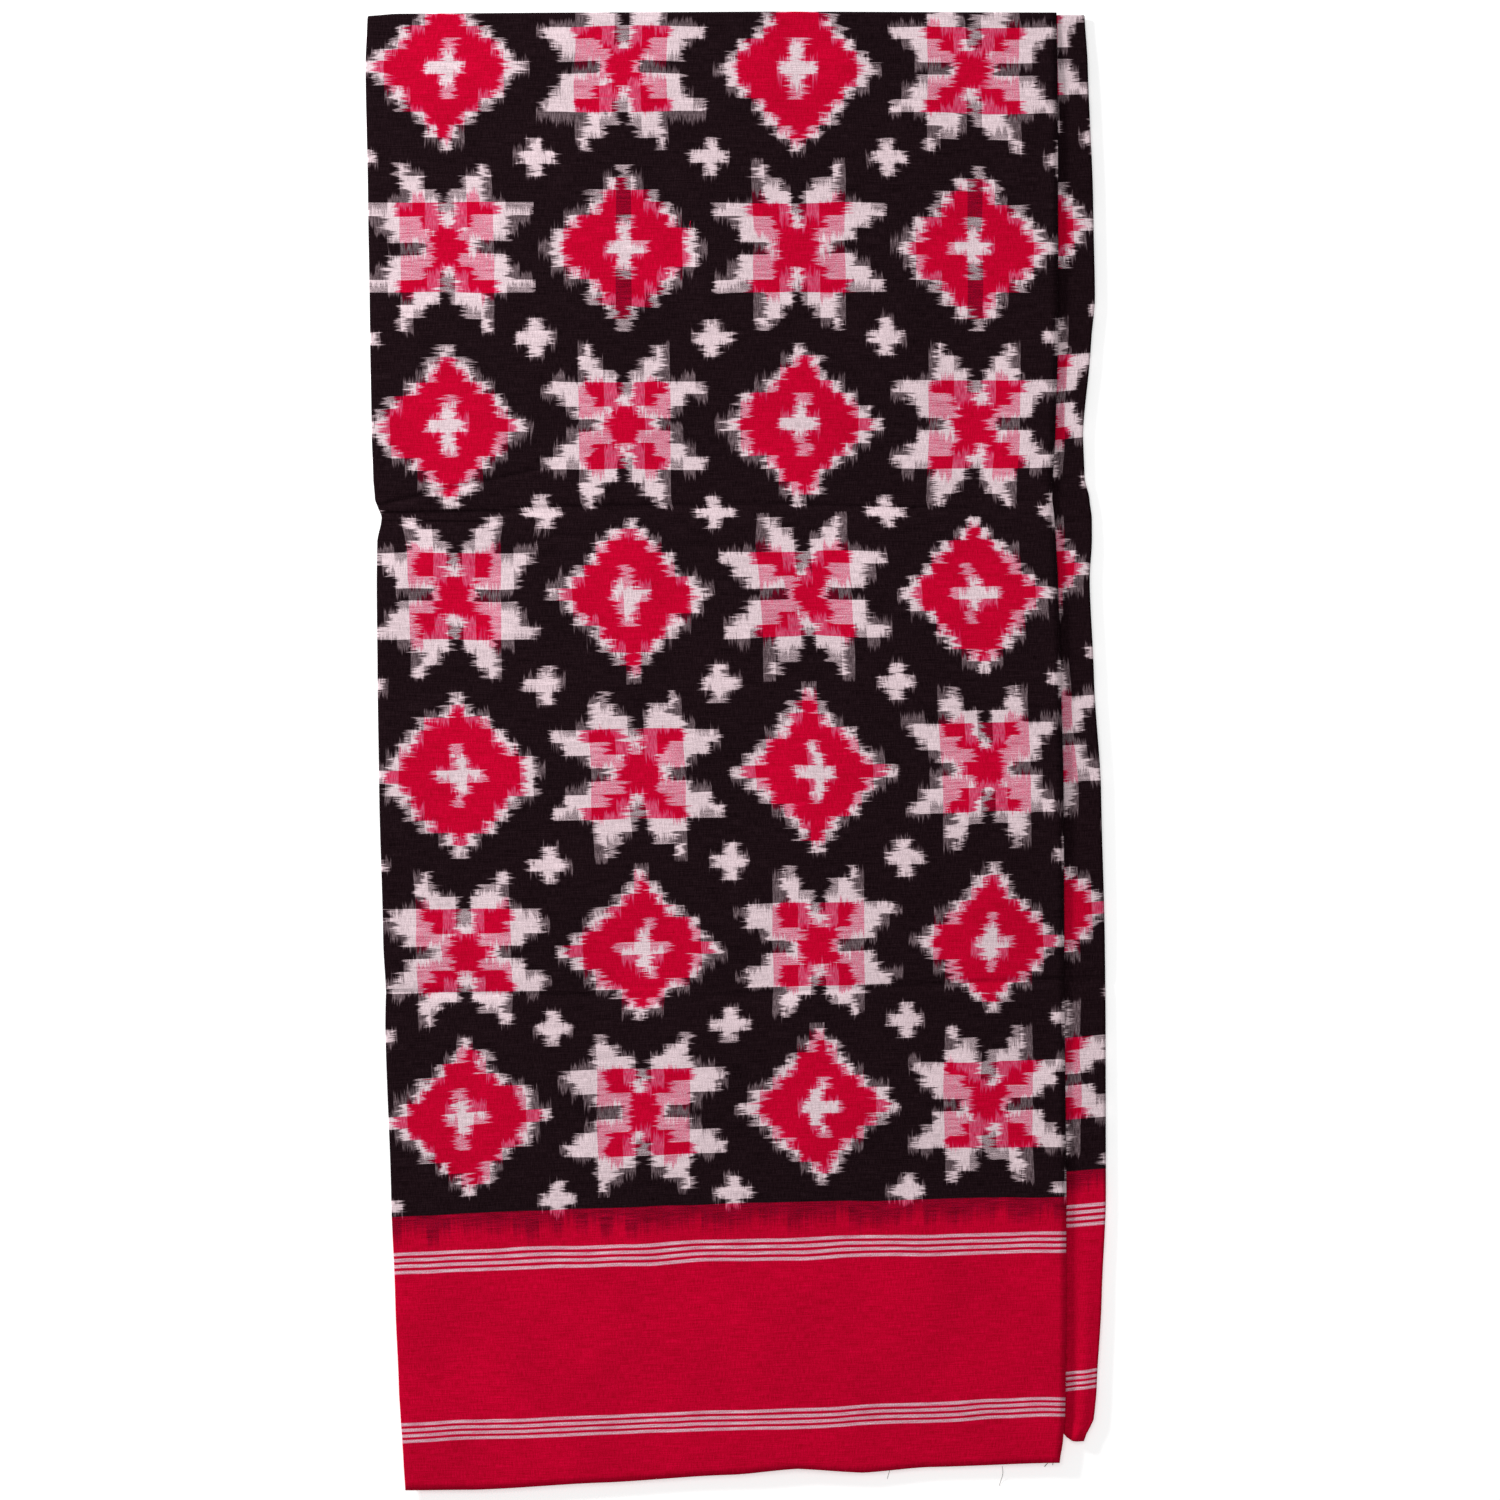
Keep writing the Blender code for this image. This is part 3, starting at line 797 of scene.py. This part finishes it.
endSettings = {
    "stops": 7,
    "kink": {"share": 0.4, "turn": 5.0},  # how far a bow is out of round, and in how many radians
    # mm: start x, y, z, end x, y, z, sideways bow, radius, and the dye
    "ends": (
        (-31.0, -541.5, 6.9, -42.5, -546.0, 0.5, 0.8, 0.25, "olive"),
        (-31.0, -541.7, 6.6, -42.0, -545.6, 0.4, -0.8, 0.25, "olive"),
        (115.0, -536.5, 6.8, 114.0, -547.5, 0.4, 0.8, 0.16, "olive"),
        (200.0, -537.0, 6.6, 198.0, -553.0, 0.4, 1.2, 0.16, "olive"),
        (234.5, -532.5, 6.9, 232.0, -538.0, 2.0, 0.6, 0.25, "olive"),
        (239.0, -532.0, 6.8, 238.2, -536.8, 2.0, -0.4, 0.25, "olive"),
        (-33.0, 391.0, 9.4, -33.6, 396.5, 10.2, 0.8, 0.25, "red"),
        (-32.4, 391.0, 9.4, -29.8, 388.6, 9.9, 1.0, 0.25, "white"),
    ),
    "dyes": {"olive": "#4a4128", "red": "#b8123a", "white": "#d9c7c6"},
    "roughness": 0.95,
    "specular": 0.06,
    # painted shade and light of the plies: darker in their grooves, lighter on their ridges
    "plyGrooveShade": {"scale": 700.0, "uneven": 2.0, "shade": (0.7, 1.1)},
}


def makeYarnFinish(name, hexColour, e):
    # loose cotton yarn: matt, with painted shade in the grooves between its twisted plies as a fine dark
    # spiral
    material = bpy.data.materials.new("loose_cotton_yarn_" + name)
    material.use_nodes = True
    tree = material.node_tree
    finish = tree.nodes["Principled BSDF"]
    finish.inputs["Roughness"].default_value = e["roughness"]
    finish.inputs["Specular IOR Level"].default_value = e["specular"]
    plyGrooveShade = e["plyGrooveShade"]
    darkest, lightest = plyGrooveShade["shade"]
    place = addNode(tree, "TexCoord").outputs["Object"]
    plies = {"Vector": place, "Scale": plyGrooveShade["scale"], "Distortion": plyGrooveShade["uneven"]}
    # painted shade: a spiral, darker in the grooves between the plies and lighter on their ridges
    wave = addNode(tree, "TexWave", plies)
    shade = addNode(tree, "MapRange", {0: wave.outputs[1], 3: darkest, 4: lightest})
    colour = addNode(tree, "VectorMath", {0: linear(hexColour), "Scale": shade}, operation="SCALE")
    tree.links.new(colour.outputs[0], finish.inputs["Base Color"])
    return material


def makeLooseEnds(e):
    finishes = {name: makeYarnFinish(name, colour, e) for name, colour in e["dyes"].items()}
    kink = e["kink"]
    pieces = []
    for startX, startY, startZ, endX, endY, endZ, bow, radius, dye in e["ends"]:
        bpy.ops.curve.primitive_nurbs_path_add(location=(0, 0, 0))
        end = bpy.context.object
        line = end.data.splines[0]
        line.points.add(e["stops"] - len(line.points))
        length = math.hypot(endX - startX, endY - startY)
        for index, point in enumerate(line.points):
            share = index / (e["stops"] - 1)
            uneven = 1.0 + kink["share"] * math.sin(kink["turn"] * share)
            side = bow * math.sin(math.pi * share) * uneven
            x = startX + share * (endX - startX) - side * (endY - startY) / length
            y = startY + share * (endY - startY) + side * (endX - startX) / length
            z = endZ + (startZ - endZ) * (1.0 - share) ** 2
            point.co = (x * mm, y * mm, z * mm, 1.0)
        line.use_endpoint_u = True
        end.data.bevel_depth = radius * mm
        end.data.bevel_resolution = 2
        end.data.use_fill_caps = True
        end.data.materials.append(finishes[dye])
        bpy.ops.object.convert(target="MESH")
        pieces.append(end)
    bpy.ops.object.select_all(action="DESELECT")
    for end in pieces:
        end.select_set(True)
    bpy.context.view_layer.objects.active = pieces[0]
    bpy.ops.object.join()
    looseEnds = bpy.context.object
    looseEnds.name = "loose_yarn_ends"
    bpy.ops.object.mode_set(mode="EDIT")
    bpy.ops.mesh.select_all(action="SELECT")
    bpy.ops.mesh.remove_doubles(threshold=0.00001)
    bpy.ops.mesh.normals_make_consistent(inside=False)
    bpy.ops.object.mode_set(mode="OBJECT")
    bpy.ops.object.shade_smooth()
    return looseEnds


looseEnds = makeLooseEnds(endSettings)
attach(looseEnds, "root")
print("loose ends laid")


# floor, light and camera

stageSettings = {
    "floorSize": 8.0,
    "floorColour": "#fdfdfd",
    "floorGlow": 0.38,  # an over-lit white backdrop, as in a shop picture
    "skyStrength": 0.27,
    "overhead": {"size": 0.9, "height": 1.7, "power": 11.0},
    "side": {"size": 0.6, "place": (-2.2, 1.5, 1.25), "power": 84.0},
    "lens": 90.0,
    "pixel": 0.75 * mm,  # of the photograph, at the cloth
    "framePixels": 1500,
    "aim": (10.8 * mm, 0.2 * mm, 6.0 * mm),
}


def makeStage(s):
    bpy.ops.mesh.primitive_plane_add(size=s["floorSize"], location=(0, 0, 0))
    floor = bpy.context.object
    floor.name = "floor"
    paper = bpy.data.materials.new("matt_white_paper")
    paper.use_nodes = True
    finish = paper.node_tree.nodes["Principled BSDF"]
    finish.inputs["Base Color"].default_value = linear(s["floorColour"]) + [1.0]
    finish.inputs["Roughness"].default_value = 1.0
    finish.inputs["Specular IOR Level"].default_value = 0.0
    finish.inputs["Emission Color"].default_value = (1, 1, 1, 1)
    finish.inputs["Emission Strength"].default_value = s["floorGlow"]
    floor.data.materials.append(paper)

    world = bpy.data.worlds.new("soft_room")
    bpy.context.scene.world = world
    world.use_nodes = True
    world.node_tree.nodes["Background"].inputs["Color"].default_value = (1, 1, 1, 1)
    world.node_tree.nodes["Background"].inputs["Strength"].default_value = s["skyStrength"]

    overhead = s["overhead"]
    bpy.ops.object.light_add(type="AREA", location=(0, 0, overhead["height"]))
    softbox = bpy.context.object
    softbox.name = "overhead_softbox"
    softbox.data.size = overhead["size"]
    softbox.data.energy = overhead["power"]

    side = s["side"]
    bpy.ops.object.light_add(type="AREA", location=side["place"])
    key = bpy.context.object
    key.name = "side_softbox"
    key.data.size = side["size"]
    key.data.energy = side["power"]
    key.rotation_euler = (-key.location).to_track_quat("-Z", "Y").to_euler()


def makeCamera(s):
    bpy.ops.object.camera_add()
    camera = bpy.context.object
    camera.data.lens = s["lens"]
    width = s["framePixels"] * s["pixel"]
    distance = width * s["lens"] / camera.data.sensor_width
    camera.location = (s["aim"][0], s["aim"][1], s["aim"][2] + distance)
    camera.rotation_euler = (0, 0, 0)
    bpy.context.scene.camera = camera


makeStage(stageSettings)
makeCamera(stageSettings)
bpy.context.scene.view_settings.view_transform = "Standard"
print("stage and camera set")
